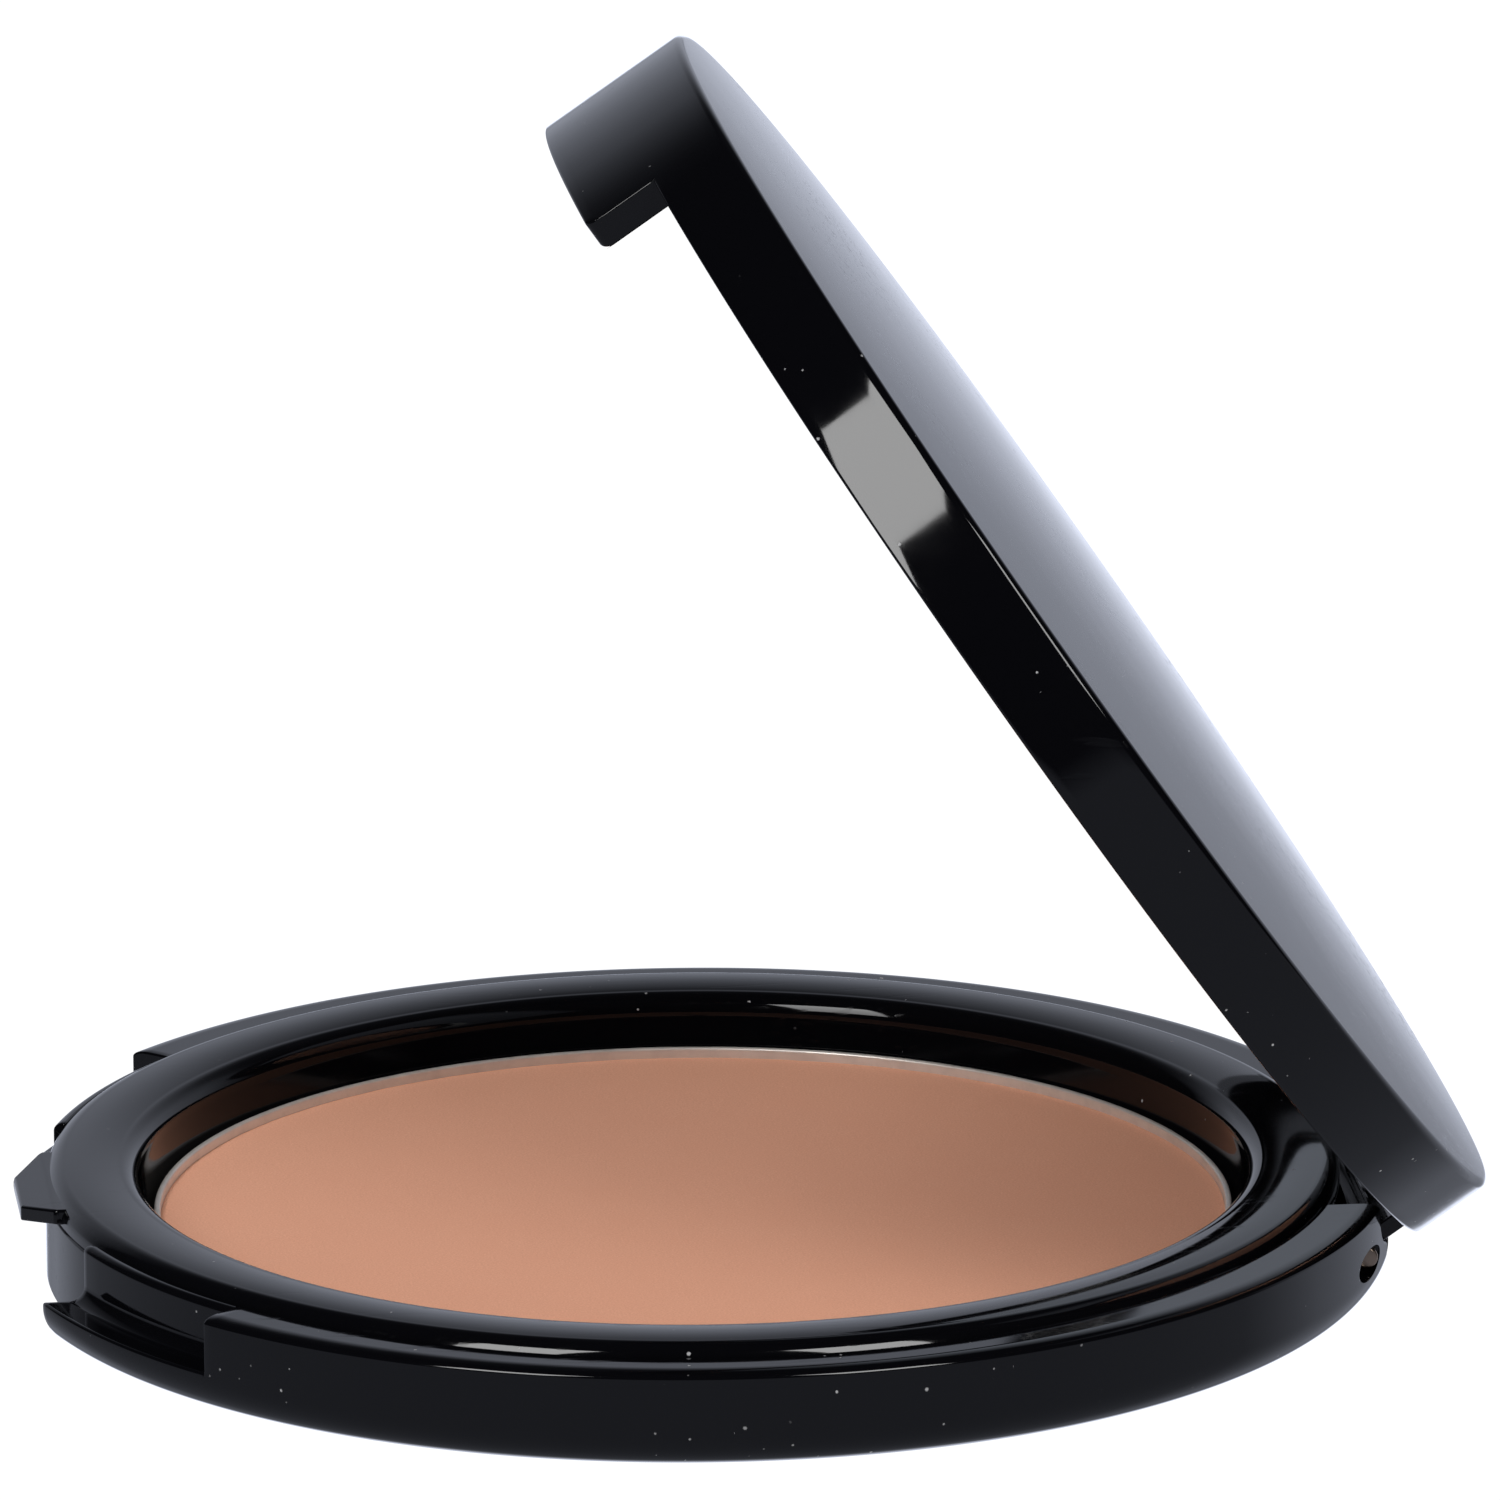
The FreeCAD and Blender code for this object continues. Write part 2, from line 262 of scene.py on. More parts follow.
def base_profile(kind, top=rim_z):
    """Rows of the base's section: plain, grip (the finger recess) or notch. Each kind has as many rows."""
    under = [(0, 0), (6, 0), (14, 0), (24, 0), (31, 0), (34.6, 0), (35.3, 0)]
    foot = arc(case_r - foot_r, foot_r, foot_r, -90, 0, 18)
    inner = [(34.9, shelf_z), (34.3, shelf_z), (cavity_r, shelf_z - 0.1), (cavity_r, 2.2), (cavity_r, 1.1),
             (cavity_r - 0.1, floor_z), (30.0, floor_z), (12.0, floor_z), (0.0, floor_z)]
    if kind in ("plain", "grip"):
        wall_r = case_r if kind == "plain" else grip_r
        low = top - RIM
        if kind == "plain":
            wall = run((case_r, ledge_z - EDGE), (case_r, low - 0.01), 20)
        else:
            wall = arc(case_r - EDGE, ledge_z - EDGE, EDGE, 0, 90, 5)
            wall += [(case_r - 0.25, ledge_z)]
            wall += arc(grip_r + HOLLOW, ledge_z + HOLLOW, HOLLOW, -90, -180, 10)
            wall += run((wall_r, ledge_z + HOLLOW + 0.05), (wall_r, low - 0.01), 4)
        wide = RIM_WIDE if kind == "plain" else RIM
        rim = [(wall_r - wide + wide * math.cos(t), top - RIM + RIM * math.sin(t))
               for t in np.radians(np.linspace(0, 90, 15))]
        flat = run((wall_r - wide - 0.03, top), (shelf_r + 0.15, top), 4)
        lip = arc(shelf_r + 0.12, top - 0.12, 0.12, 90, 180, 4)
        side = run((shelf_r, min(top - 0.13, rim_z - 0.3)), (shelf_r, min(shelf_z, top - 0.14)), 2)
        inner = [(r, min(z, top - 0.15)) for r, z in inner]
        return under + foot + wall + rim + flat + lip + side + inner
    # the notch: only the wall below the shelf is left, its face at the shelf's radius
    foot = arc(shelf_r - EDGE, EDGE, EDGE, -90, 0, 6) + run((shelf_r, 0.3), (shelf_r, foot_r), 12)
    ledge = run((shelf_r, foot_r + 0.03), (shelf_r, ledge_z + 0.2), 14)
    wall = run((shelf_r, ledge_z + 0.27), (shelf_r, shelf_z - EDGE), 6)
    rim = arc(shelf_r - EDGE, shelf_z - EDGE, EDGE, 0, 90, 15)
    rest = run((shelf_r - EDGE - 0.02, shelf_z), (34.95, shelf_z), 10)
    return under + foot + ledge + wall + rim + rest + inner


def hinge_profile():
    """The base's section where the lid's barrel sits: the floor plate only."""
    profile = base_profile("plain")
    return [(min(r, gap_r) if z > gap_z else r, min(z, gap_z)) for r, z in profile]


def shoulder_top(x):
    """Height of the rim beside the hinge, where it dips in a quarter round."""
    dx = abs(x) - shoulder_x
    if dx >= math.sqrt(shoulder_r ** 2 - (shoulder_z - rim_z) ** 2):
        return rim_z
    return min(rim_z, shoulder_z - math.sqrt(max(0.0, shoulder_r ** 2 - dx ** 2)))


def make_base():
    """Half of the base in sections from the notch at the front to the barrel's gap, then mirrored."""
    sections = []
    jumps = []
    u_notch = math.asin(notch_x / case_r)
    for u in np.linspace(0.0, u_notch, 19):
        sections.append(place(base_profile("notch"), u, 1.0))
    jumps.append(len(sections) - 1)
    u_grip = math.radians(grip_half)
    for u in np.linspace(u_notch, u_grip, 31):
        sections.append(place(base_profile("grip"), u, 1 - smooth((u - u_notch) / FADE)))
    jumps.append(len(sections) - 1)
    # round to the hinge, the last part in planes across X
    u_dip = math.pi - math.asin(dip_x / case_r)
    for u in np.linspace(u_grip, u_dip, 125):
        weight = smooth((u - (u_dip - FADE)) / FADE)
        sections.append(place(base_profile("plain"), math.pi - u, weight, back=True))
    for x in np.linspace(dip_x, opening_x, 23)[1:]:
        u = math.asin(x / case_r)
        sections.append(place(base_profile("plain", shoulder_top(x)), u, 1.0, back=True))
    jumps.append(len(sections) - 1)
    for u in np.linspace(math.asin(opening_x / case_r), 0.0, 13):
        sections.append(place(hinge_profile(), u, 1.0, back=True))
    obj = finish_mesh(loft(sections, jumps, bevel=0.12), "base_shell", mirrored=True)
    # pin holes, with a wider mouth that the pin's end sits back in
    for side in (-1, 1):
        hole = rod("hole", pin_r, side * barrel_half, side * (mouth_in + 0.4))
        join_solid(obj, hole, "DIFFERENCE")
        mouth = rod("mouth", mouth_r, side * mouth_in, side * 20.0)
        join_solid(obj, mouth, "DIFFERENCE")
    even_shading(obj)
    return obj


# ---- bezel ring -----------------------------------------------------------------
def make_hook():
    """Catch hook: a thin tongue that slopes down and narrows to its tip."""
    root_y, tip_y = 1.0 - bezel_r, span_mm("bezel_ring", "y")[0]
    root_half, tip_half = 5.50, 2.70
    # rows from root to tip: place along Y, half width, underside, top
    rows = [(root_y, root_half, 4.90, 5.77), (-bezel_r, root_half, 4.92, 5.77),
            (tip_y + 0.02, tip_half, 4.36, 5.21)]
    bm = bmesh.new()
    rings = []
    for y, half, low, high in rows:
        corners = ((-half, y, low), (half, y, low), (half, y, high), (-half, y, high))
        rings.append([bm.verts.new(corner) for corner in corners])
    bm.faces.new(rings[0][::-1])
    bm.faces.new(rings[-1])
    for a, b in zip(rings, rings[1:]):
        for k in range(4):
            m = (k + 1) % 4
            bm.faces.new((a[k], a[m], b[m], b[k]))
    bmesh.ops.recalc_face_normals(bm, faces=bm.faces[:])
    bmesh.ops.bevel(bm, geom=bm.edges[:], offset=0.14, segments=4, profile=0.5, affect="EDGES")
    return finish_mesh(bm, "hook")


def make_bezel():
    """Raised ring with the well's wall inside it, a rounded outer edge and the catch hook."""
    edge, lip = 1.05, 1.10                   # rounding outside, and of the well's lip
    inner, outer = lip_r + lip, bezel_r - edge
    profile = run((well_r, floor_z), (lip_r, lip_z - lip), 14)
    profile += arc(inner, lip_z - lip, lip, 180, 90, 20)[1:-1]
    for share in np.linspace(0.0, 1.0, 29):
        rise = shoulder_rise * share + 4 * bezel_crown * share * (1 - share)
        profile.append((inner + (outer - inner) * share, lip_z + rise))
    profile += arc(outer, lip_z + shoulder_rise - edge, edge, 90, 0, 20)[1:]
    profile += [(bezel_r, 4.9), (bezel_r, 4.78), (bezel_r - 0.08, shelf_z), (33.0, shelf_z)]
    profile += [(lip_r + 1.0, shelf_z), (lip_r + 0.95, shelf_z - 0.1), (well_r + 1.0, floor_z)]
    obj = revolve(profile, "bezel_ring")
    join_solid(obj, make_hook(), "UNION")
    even_shading(obj)
    return obj


# ---- pan and powder -------------------------------------------------------------
def make_pan():
    """Drawn metal dish: sheet of thickness t, corner rounded by c, rolled edge of radius e."""
    r = span_mm("powder_pan", "x")[1]
    z0, top = span_mm("powder_pan", "z")
    t, c, e = 0.35, 0.80, 0.13
    profile = [(0, z0), (14, z0), (r - c - 0.4, z0)] + arc(r - c, z0 + c, c, -90, 0, 10)
    profile += [(r, 2.5)] + arc(r - e, top - e, e, 0, 90, 6)
    profile += arc(r - t + e, top - e, e, 90, 180, 6) + [(r - t, 2.6)]
    profile += arc(r - c, z0 + c, c - t, 0, -90, 8) + [(r - c - 0.4, z0 + t), (14, z0 + t), (0, z0 + t)]
    obj = revolve(profile, "powder_pan")
    even_shading(obj)
    return obj


def make_powder():
    """Pressed cake: level top with faint waves from the press and a crumbled edge."""
    r = span_mm("powder_cake", "x")[1]
    z0, top = span_mm("powder_cake", "z")
    steps = 360
    turns = [2 * math.pi * s / steps for s in range(steps)]
    worn = 0.55                              # width of the crumbled edge
    bm = bmesh.new()
    middle = bm.verts.new((0, 0, top))
    loops = []
    for ring_r in list(np.linspace(0.35, 27.6, 88)) + list(np.linspace(27.8, r - 0.02, 14)):
        edge = max(0.0, (ring_r - (r - worn)) / worn)
        loop = []
        for t in turns:
            x, y = ring_r * math.cos(t), ring_r * math.sin(t)
            wave = math.sin(0.42 * x + 0.3) * math.cos(0.37 * y - 0.8)
            wave += 0.6 * math.sin(0.9 * x - 1.1 * y + 2.0)
            crumble = 0.5 + 0.5 * math.sin(17 * t + 2.0 * math.sin(5 * t)) * math.sin(41 * t + 1.0)
            z = top - 0.012 + 0.006 * wave - edge ** 2 * (0.002 + 0.006 * crumble)
            loop.append(bm.verts.new((x, y, z)))
        loops.append(loop)
    for ring_r, z in ((r - 0.005, 2.60), (r - 0.005, 1.95), (r - 0.45, z0), (8.0, z0)):
        loops.append([bm.verts.new((ring_r * math.cos(t), ring_r * math.sin(t), z)) for t in turns])
    base = bm.verts.new((0, 0, z0))
    for s in range(steps):
        m = (s + 1) % steps
        bm.faces.new((middle, loops[0][s], loops[0][m]))
        bm.faces.new((base, loops[-1][m], loops[-1][s]))
        for a, b in zip(loops, loops[1:]):
            bm.faces.new((a[s], b[s], b[m], a[m]))
    return finish_mesh(bm, "powder_cake", sharp=50)


# ---- lid, drawn closed ----------------------------------------------------------
LID_EDGE = 0.45              # rounding of the lid's top edge
LOW_EDGE = 0.16              # rounding of its lower edge


def lid_profile(low):
    """Rows of the lid's section with its wall ending at height low."""
    rows = [(0, plate_z), (12, plate_z), (24, plate_z), (32, plate_z), (36.0, plate_z)]
    rows += arc(lid_in - 0.2, plate_z - 0.2, 0.2, 90, 0, 5)
    rows += run((lid_in, 8.6), (lid_in, lid_z + LOW_EDGE), 7)
    rows += run((lid_in, lid_z + LOW_EDGE), (lid_in, low + LOW_EDGE), 10)
    rows += arc(lid_in + LOW_EDGE, low + LOW_EDGE, LOW_EDGE, 180, 270, 6)
    rows += run((lid_in + 0.3, low), (case_r - 0.3, low), 4)
    rows += arc(case_r - LOW_EDGE, low + LOW_EDGE, LOW_EDGE, -90, 0, 6)
    rows += run((case_r, low + LOW_EDGE), (case_r, lid_z + LOW_EDGE), 10)
    rows += run((case_r, lid_z + 0.6), (case_r, lid_top - LID_EDGE), 8)
    rows += arc(case_r - LID_EDGE, lid_top - LID_EDGE, LID_EDGE, 0, 88.8, 14)[1:]
    flat = case_r - LID_EDGE
    ball = (flat ** 2 + lid_crown ** 2) / (2 * lid_crown)
    for r in list(np.linspace(flat - 0.15, 34.0, 8)) + list(np.linspace(33.0, 0.0, 26)):
        rows.append((float(r), lid_top + lid_crown - ball + math.sqrt(ball ** 2 - float(r) ** 2)))
    return rows


def opened(obj):
    """Turns a lid piece drawn closed to where the lid stands at rest."""
    pivot = Vector((0, hinge_y * MM, hinge_z * MM))
    turn = Matrix.Rotation(math.radians(open_angle), 4, Vector((-1, 0, 0)))
    obj.data.transform(Matrix.Translation(pivot) @ turn @ Matrix.Translation(-pivot))
    return obj


def rectangle(y0, y1, z0, z1):
    """Corners of an upright rectangle in a plane across X."""
    return [(y0, z0), (y1, z0), (y1, z1), (y0, z1)]


def make_lid():
    """Half of the lid in sections from the tab to the back, mirrored, with the barrel and its neck."""
    sections = []
    flat_x = tab_x - tab_corner
    for u in np.linspace(0.0, math.asin(flat_x / case_r), 17):
        sections.append(place(lid_profile(tab_z), u, 1.0))
    for turn in np.linspace(0.0, math.radians(90), 9)[1:]:
        x = flat_x + tab_corner * math.sin(turn)
        low = tab_z + tab_corner * (1 - math.cos(turn))
        sections.append(place(lid_profile(low), math.asin(x / case_r), 1.0))
    tab_side = len(sections) - 1
    u_tab = math.asin(tab_x / case_r)
    for u in np.linspace(u_tab, math.pi, 165):
        sections.append(place(lid_profile(lid_z), u, 1 - smooth((u - u_tab) / FADE)))
    obj = finish_mesh(loft(sections, [tab_side], bevel=0.10), "lid_shell", mirrored=True)
    # hinge barrel under the back edge, with its neck a hair narrower than the barrel
    join_solid(obj, rod("barrel", barrel_r, -barrel_half, barrel_half, rounding=0.12), "UNION")
    neck_y, neck_half = bezel_r + 0.25, barrel_half - 0.01
    outline = rectangle(neck_y, hinge_y + 1.1, hinge_z + 0.1, lid_z + 0.5)
    join_solid(obj, finish_mesh(block(outline, "x", -neck_half, neck_half, bevel=0.1), "neck"), "UNION")
    # the neck's root runs out to the lid's wall
    root_half, root_r = neck_half - 0.01, case_r - 0.6
    outline = [(x, math.sqrt(root_r ** 2 - x * x)) for x in np.linspace(-root_half, root_half, 25)]
    outline += [(x, math.sqrt(neck_y ** 2 - x * x)) for x in np.linspace(root_half, -root_half, 25)]
    join_solid(obj, finish_mesh(block(outline, "z", lid_z - 0.02, lid_z + 1.2), "root"), "UNION")
    for side in (-1, 1):
        join_solid(obj, rod("bore", pin_r + pin_run, side * (pin_in - 0.2), side * 10.0), "DIFFERENCE")
    # pocket behind the tab that the hook closes into
    outline = rectangle(-37.3, -33.0, 0.4, lid_z + 0.35)
    join_solid(obj, finish_mesh(block(outline, "x", -6.2, 6.2), "pocket"), "DIFFERENCE")
    even_shading(obj)
    return opened(obj)


def make_mirror_frame():
    """Ring with a lip that holds the mirror's edge against the lid's plate."""
    outer, inner, hold = span_mm("mirror_frame", "x")[1], 32.40, 33.80
    low, lip = 7.40, 0.55
    profile = arc(inner + 0.22, low + 0.22, 0.22, 180, 270, 7)
    profile += arc(outer - 0.30, low + 0.30, 0.30, -90, 0, 8)
    profile += [(outer, plate_z - 0.1), (outer - 0.1, plate_z), (hold + 0.1, plate_z), (hold, plate_z - 0.1)]
    profile += [(hold, low + lip), (inner + 0.1, low + lip), (inner, low + lip - 0.1)]
    obj = revolve(profile, "mirror_frame")
    even_shading(obj)
    return opened(obj)


def make_mirror():
    """Glass disc of thickness t with rounded edges, glued under the lid's plate."""
    r, t, c = span_mm("mirror", "x")[1], 1.20, 0.15
    top = plate_z - 0.15
    profile = [(0, top - t), (16, top - t), (30, top - t)] + arc(r - c, top - t + c, c, -90, 0, 5)
    profile += arc(r - c, top - c, c, 0, 90, 5) + [(30, top), (0, top)]
    obj = revolve(profile, "mirror")
    even_shading(obj)
    return opened(obj)


# ---- node helpers ---------------------------------------------------------------
class Nodes:
    """Short way to build a node tree: every call adds a node and returns it."""

    def __init__(self, tree):
        self.tree = tree

    def add(self, kind, **settings):
        node = self.tree.nodes.new(kind)
        for key, value in settings.items():
            if hasattr(node, key):
                setattr(node, key, value)
            else:
                node.inputs[key.replace("_", " ")].default_value = value
        return node

    def link(self, a, b):
        self.tree.links.new(a, b)

    def put(self, node, socket, value):
        if isinstance(value, bpy.types.NodeSocket):
            self.link(value, node.inputs[socket])
        else:
            node.inputs[socket].default_value = value

    def math(self, op, a, b=0.0, clamp=False):
        node = self.add("ShaderNodeMath", operation=op, use_clamp=clamp)
        self.put(node, 0, a)
        self.put(node, 1, b)
        return node.outputs[0]

    def noise(self, vector, scale, detail=2.0, rough=0.5, distort=0.0):
        node = self.add("ShaderNodeTexNoise")
        self.link(vector, node.inputs["Vector"])
        node.inputs["Scale"].default_value = scale
        node.inputs["Detail"].default_value = detail
        node.inputs["Roughness"].default_value = rough
        node.inputs["Distortion"].default_value = distort
        return node.outputs["Fac"]

    def voronoi(self, vector, scale):
        node = self.add("ShaderNodeTexVoronoi")
        self.link(vector, node.inputs["Vector"])
        node.inputs["Scale"].default_value = scale
        return node.outputs["Distance"]

    def dot(self, vector, fixed):
        node = self.add("ShaderNodeVectorMath", operation="DOT_PRODUCT")
        self.link(vector, node.inputs[0])
        node.inputs[1].default_value = fixed
        return node.outputs["Value"]

    def spread(self, value, lo, hi, to_lo=0.0, to_hi=1.0):
        node = self.add("ShaderNodeMapRange")
        self.link(value, node.inputs[0])
        for k, v in enumerate((lo, hi, to_lo, to_hi)):
            node.inputs[k + 1].default_value = v
        return node.outputs[0]

    def curve(self, value, spots):
        """Straight lines between the (value, result) spots; value runs from 0 to 1."""
        node = self.add("ShaderNodeFloatCurve")
        self.link(value, node.inputs["Value"])
        node.mapping.use_clip = False
        points = node.mapping.curves[0].points
        points[0].location, points[-1].location = spots[0], spots[-1]
        for spot in spots[1:-1]:
            points.new(*spot)
        for point in points:
            point.handle_type = "VECTOR"
        node.mapping.update()
        return node.outputs[0]

    def stretch(self, vector, scale, turn=(0.0, 0.0, 0.0)):
        node = self.add("ShaderNodeMapping")
        self.link(vector, node.inputs["Vector"])
        node.inputs["Rotation"].default_value = turn
        node.inputs["Scale"].default_value = scale
        return node.outputs[0]

    def mix_color(self, fac, a, b):
        node = self.add("ShaderNodeMix", data_type="RGBA")
        self.put(node, 0, fac)
        self.put(node, 6, a)
        self.put(node, 7, b)
        return node.outputs[2]

    def bump(self, height, strength, distance, normal=None):
        node = self.add("ShaderNodeBump")
        node.inputs["Strength"].default_value = strength
        node.inputs["Distance"].default_value = distance
        self.link(height, node.inputs["Height"])
        if normal is not None:
            self.link(normal, node.inputs["Normal"])
        return node.outputs[0]


def new_material(name):
    mat = bpy.data.materials.new(name)
    mat.use_nodes = True
    tree = mat.node_tree
    tree.nodes.clear()
    n = Nodes(tree)
    out = n.add("ShaderNodeOutputMaterial")
    shader = n.add("ShaderNodeBsdfPrincipled")
    n.link(shader.outputs[0], out.inputs["Surface"])
    place_of = n.add("ShaderNodeTexCoord").outputs["Object"]
    return mat, n, shader, place_of


def gloss_plastic(name, color, rough, dust=1.0, scratch=1.0, painted_shade_inside=0.0):
    """Moulded gloss plastic with faint waves, hairlines and sparse dust.

    Where a radius in metres is given as the last argument, the surface reflects less nearer the Z axis than
    that: painted shade, darkening a recess such as the bezel's well.
    """
    mat, n, shader, pos = new_material(name)
    shader.inputs["IOR"].default_value = 1.5
    # dust: specks of two sizes that gather in patches
    patch = n.spread(n.noise(pos, 95.0, 2.0), 0.44, 0.57)
    specks = None
    for scale, size in ((900.0, 0.10), (420.0, 0.055)):
        ragged = n.spread(n.noise(pos, scale * 2.3, 1.0), 0.3, 0.7, 0.0, size * 0.9)
        cell = n.math("ADD", n.voronoi(pos, scale), ragged)
        spot = n.spread(cell, size * 1.2, size * 0.7)
        keep = n.math("GREATER_THAN", n.noise(pos, scale * 0.53, 0.0), 0.52)
        spot = n.math("MULTIPLY", spot, keep)
        specks = spot if specks is None else n.math("MAXIMUM", specks, spot)
    specks = n.math("MULTIPLY", n.math("MULTIPLY", specks, patch), dust, clamp=True)
    # hairlines in three directions
    lines = None
    for turn, offset in ((0.5, 0.0), (1.7, 3.0), (2.6, 7.0)):
        along = n.stretch(pos, (2600.0, 130.0, 2600.0), (turn, turn * 0.7, turn + offset))
        hair = n.spread(n.noise(along, 1.0, 0.0), 0.735, 0.76)
        lines = hair if lines is None else n.math("MAXIMUM", lines, hair)
    lines = n.math("MULTIPLY", lines, n.spread(n.noise(pos, 60.0, 1.0), 0.45, 0.65, 0.0, scratch))
    film = n.spread(n.noise(pos, 240.0, 3.0, 0.6), 0.3, 0.75)
    shader_rough = n.math("ADD", n.spread(film, 0.0, 1.0, rough, rough + 0.045),
                          n.math("MULTIPLY", lines, 0.12))
    shader_rough = n.math("ADD", shader_rough, n.math("MULTIPLY", specks, 0.6), clamp=True)
    n.link(shader_rough, shader.inputs["Roughness"])
    n.link(n.mix_color(specks, color, (0.36, 0.36, 0.37, 1)), shader.inputs["Base Color"])
    wave = n.bump(n.noise(pos, 150.0, 1.0), 0.10, 0.00003)
    fine = n.bump(n.math("ADD", n.math("MULTIPLY", lines, -0.4), specks), 0.25, 0.00001, wave)
    n.link(fine, shader.inputs["Normal"])
    # painted shade: a lower specular level nearer the Z axis darkens the reflections inside the well
    if painted_shade_inside:
        split = n.add("ShaderNodeSeparateXYZ")
        n.link(pos, split.inputs[0])
        x, y = split.outputs[0], split.outputs[1]
        reach = n.math("SQRT", n.math("ADD", n.math("MULTIPLY", x, x), n.math("MULTIPLY", y, y)))
        level = n.spread(reach, painted_shade_inside - 0.0003, painted_shade_inside, 0.16, 0.5)
        n.link(level, shader.inputs["Specular IOR Level"])
    return mat


def make_powder_material():
    """Pressed powder: fine grain, soft mottling, a few brighter flecks."""
    mat, n, shader, pos = new_material("pressed_powder_tan")
    grain = n.noise(pos, 9000.0, 2.0, 0.7)
    cloud = n.noise(pos, 320.0, 3.0, 0.6)
    base = n.mix_color(n.spread(grain, 0.3, 0.7), (0.650, 0.312, 0.198, 1), (0.770, 0.392, 0.262, 1))
    base = n.mix_color(n.spread(cloud, 0.3, 0.7, 0.0, 0.22), base, (0.700, 0.330, 0.210, 1))
    fleck = n.math("MULTIPLY", n.spread(n.voronoi(pos, 5200.0), 0.16, 0.08),
                   n.math("GREATER_THAN", n.noise(pos, 2900.0, 0.0), 0.62))
    base = n.mix_color(n.math("MULTIPLY", fleck, 0.45), base, (0.93, 0.66, 0.50, 1))
    n.link(base, shader.inputs["Base Color"])
    n.link(n.spread(grain, 0.3, 0.7, 0.82, 0.97), shader.inputs["Roughness"])
    shader.inputs["IOR"].default_value = 1.35
    coarse = n.bump(cloud, 0.25, 0.00006)
    n.link(n.bump(grain, 0.45, 0.00003, coarse), shader.inputs["Normal"])
    return mat


def brushed_metal(name, color, rough, scale=(400.0, 400.0, 9000.0), metallic=1.0):
    """Metal with fine drawn lines and a few dull spots."""
    mat, n, shader, pos = new_material(name)
    shader.inputs["Metallic"].default_value = metallic
    lines = n.noise(n.stretch(pos, scale), 1.0, 3.0, 0.6)
    spots = n.noise(pos, 700.0, 3.0, 0.6)
    dark = tuple(c * 0.78 for c in color[:3]) + (1.0,)
    n.link(n.mix_color(n.spread(spots, 0.45, 0.75, 0.0, 0.6), color, dark), shader.inputs["Base Color"])
    n.link(n.spread(lines, 0.25, 0.75, rough - 0.08, rough + 0.12), shader.inputs["Roughness"])
    n.link(n.bump(lines, 0.25, 0.00001), shader.inputs["Normal"])
    return mat


def mirror_material():
    """Silvered glass: clean reflection with faint wiping marks and dust."""
    mat, n, shader, pos = new_material("mirror_silver")
    shader.inputs["Metallic"].default_value = 1.0
    wipes = n.noise(n.stretch(pos, (40.0, 260.0, 260.0), (0.3, 0.2, 0.9)), 1.0, 3.0, 0.6, 0.8)
    speck = n.math("MULTIPLY", n.spread(n.voronoi(pos, 700.0), 0.07, 0.04),
                   n.math("GREATER_THAN", n.noise(pos, 350.0, 0.0), 0.62))
    rough = n.math("ADD", n.spread(wipes, 0.45, 0.8, 0.012, 0.06), n.math("MULTIPLY", speck, 0.5))
    n.link(rough, shader.inputs["Roughness"])
    n.link(n.mix_color(speck, (0.87, 0.90, 0.89, 1), (0.6, 0.6, 0.6, 1)), shader.inputs["Base Color"])
    return mat


def adhesive_material():
    """Dull off-white glue, a little uneven."""
    mat, n, shader, pos = new_material("adhesive_dull")
    mottle = n.noise(pos, 500.0, 3.0)
    n.link(n.mix_color(n.spread(mottle, 0.3, 0.7), (0.55, 0.52, 0.45, 1), (0.68, 0.65, 0.58, 1)),
           shader.inputs["Base Color"])
    n.link(n.spread(mottle, 0.3, 0.7, 0.55, 0.75), shader.inputs["Roughness"])
    n.link(n.bump(mottle, 0.4, 0.00005), shader.inputs["Normal"])
    return mat


# ---- pieces ---------------------------------------------------------------------
black = (0.0017, 0.0017, 0.0024, 1)
case_gloss = gloss_plastic("case_gloss_black", black, 0.035)
# the bezel's well gets painted shade: it reflects less inside the lip
bezel_gloss = gloss_plastic("bezel_gloss_black", black, 0.035, painted_shade_inside=(lip_r + 0.3) * MM)
frame_satin = gloss_plastic("frame_satin_black", (0.010, 0.010, 0.011, 1), 0.20, 0.4, 0.5)
powder_mat = make_powder_material()
pan_mat = brushed_metal("pan_aluminium", (0.76, 0.71, 0.66, 1), 0.40, metallic=0.60)
pin_mat = brushed_metal("pin_steel_worn", (0.46, 0.36, 0.29, 1), 0.36, (9000.0, 500.0, 500.0))
glue_mat = adhesive_material()
silver = mirror_material()

PIECES = (
    (make_base, case_gloss, "base", "base_shell", "case_plastic"),
    (make_bezel, bezel_gloss, "base", "bezel_ring", "case_plastic"),
    (make_pan, pan_mat, "base", "powder_pan", "pan_metal"),
    (make_powder, powder_mat, "base", "powder_cake", "pressed_powder"),
    (make_lid, case_gloss, "lid", "lid_shell", "case_plastic"),
    (make_mirror_frame, frame_satin, "lid", "mirror_frame", "frame_plastic"),
    (make_mirror, silver, "lid", "mirror", "mirror_glass"),
)
for build, material, body, node, slot_name in PIECES:
    piece = build()
    piece.name = node + "_look"
    piece.data.materials.clear()
    piece.data.materials.append(material)
    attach(piece, body)
    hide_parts(node)

for side, word in ((1, "right"), (-1, "left")):
    node = "hinge_pin_" + word
    pin = rod(node + "_look", pin_r, side * pin_in, side * pin_out, rounding=0.15)
    pin.data.materials.append(pin_mat)
    even_shading(pin)
    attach(pin, "base")
    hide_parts(node)

for node in ("pan_adhesive", "mirror_adhesive"):
    glue = frame["nodes"][node]
    glue.data.materials.clear()
    glue.data.materials.append(glue_mat)

